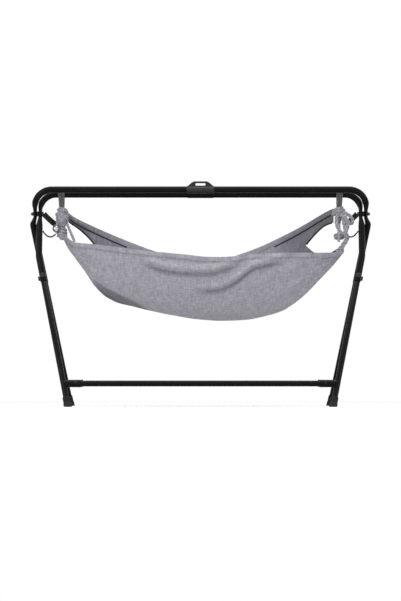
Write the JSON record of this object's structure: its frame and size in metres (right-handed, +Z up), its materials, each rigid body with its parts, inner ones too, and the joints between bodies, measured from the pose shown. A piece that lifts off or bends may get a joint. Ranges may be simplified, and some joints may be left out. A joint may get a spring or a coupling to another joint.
{
  "type": "hanging baby cradle",
  "caption": "Folding stand of crossed bent-tube frames with locked-in legs, crossbars and rubber feet, carrying a cloth sling cradle that hangs by loops from a top bar and swings.",
  "frame": {"origin": "on the floor, at the middle of the box round the open stand", "axes": "+X to the right along the top bars, +Y towards the back, +Z up"},
  "size_m": [1.3118, 0.4678, 0.8644],
  "materials": {
    "black_paint": "glossy black powder coat",
    "black_plastic": "moulded black plastic",
    "black_rubber": "moulded rubber",
    "dark_steel": "blackened steel",
    "grey_cloth": "melange woven cotton",
    "grey_rope": "twisted cotton rope",
    "black_webbing": "woven webbing"
  },
  "bodies": {
    "inner_stand": {"inner_tube_left": "black_paint", "inner_leg_left": "black_paint", "inner_foot_left": "black_rubber", "inner_socket_left": "black_paint", "inner_socket_screw_left": "dark_steel", "inner_tube_right": "black_paint", "inner_leg_right": "black_paint", "inner_foot_right": "black_rubber", "inner_socket_right": "black_paint", "inner_socket_screw_right": "dark_steel", "inner_crossbar": "black_paint", "inner_bar_sleeve": "black_paint", "pivot_bolt_left": "dark_steel", "pivot_spacer_left": "black_plastic", "pivot_cap_nut_left": "dark_steel", "stay_strap_left": "black_webbing", "stay_cord_left": "black_webbing", "pivot_bolt_right": "dark_steel", "pivot_spacer_right": "black_plastic", "pivot_cap_nut_right": "dark_steel", "stay_strap_right": "black_webbing", "stay_cord_right": "black_webbing"},
    "outer_stand": {"outer_tube_left": "black_paint", "outer_leg_left": "black_paint", "outer_foot_left": "black_rubber", "outer_socket_left": "black_paint", "outer_socket_screw_left": "dark_steel", "outer_tube_right": "black_paint", "outer_leg_right": "black_paint", "outer_foot_right": "black_rubber", "outer_socket_right": "black_paint", "outer_socket_screw_right": "dark_steel", "outer_crossbar": "black_paint", "outer_bar_clip": "black_plastic"},
    "cradle": {"cradle_cloth": "grey_cloth", "cradle_knot_left": "grey_rope", "cradle_loop_left_1": "grey_rope", "cradle_loop_left_2": "grey_rope", "cradle_tail_left": "grey_rope", "cradle_knot_right": "grey_rope", "cradle_loop_right_1": "grey_rope", "cradle_loop_right_2": "grey_rope", "cradle_tail_right": "grey_rope"},
    "knob_inner_left": {"inner_knob_left": "black_plastic"},
    "knob_inner_right": {"inner_knob_right": "black_plastic"},
    "knob_outer_left": {"outer_knob_left": "black_plastic"},
    "knob_outer_right": {"outer_knob_right": "black_plastic"}
  },
  "joints": [
    {"name": "stand_fold", "type": "hinge", "parent": "inner_stand", "child": "outer_stand", "pos_m": [0, 0, 0.74], "axis": [1, 0, 0], "range_deg": [-15, 0]},
    {"name": "cradle_swing", "type": "hinge", "parent": "inner_stand", "child": "cradle", "pos_m": [0, 0.02251, 0.816], "axis": [1, 0, 0], "range_deg": [-18, 18]},
    {"name": "inner_knob_left_turn", "type": "hinge", "parent": "inner_stand", "child": "knob_inner_left", "pos_m": [-0.60273, -0.07214, 0.49646], "axis": [0, -0.9588, 0.284], "range_deg": [0, 180]},
    {"name": "inner_knob_right_turn", "type": "hinge", "parent": "inner_stand", "child": "knob_inner_right", "pos_m": [0.60273, -0.07214, 0.49646], "axis": [0, -0.9588, 0.284], "range_deg": [0, 180]},
    {"name": "outer_knob_left_turn", "type": "hinge", "parent": "outer_stand", "child": "knob_outer_left", "pos_m": [-0.60464, 0.07214, 0.49646], "axis": [-0.9827, 0.0526, -0.1777], "range_deg": [0, 180]},
    {"name": "outer_knob_right_turn", "type": "hinge", "parent": "outer_stand", "child": "knob_outer_right", "pos_m": [0.60464, 0.07214, 0.49646], "axis": [0.9827, 0.0526, -0.1777], "range_deg": [0, 180]}
  ]
}
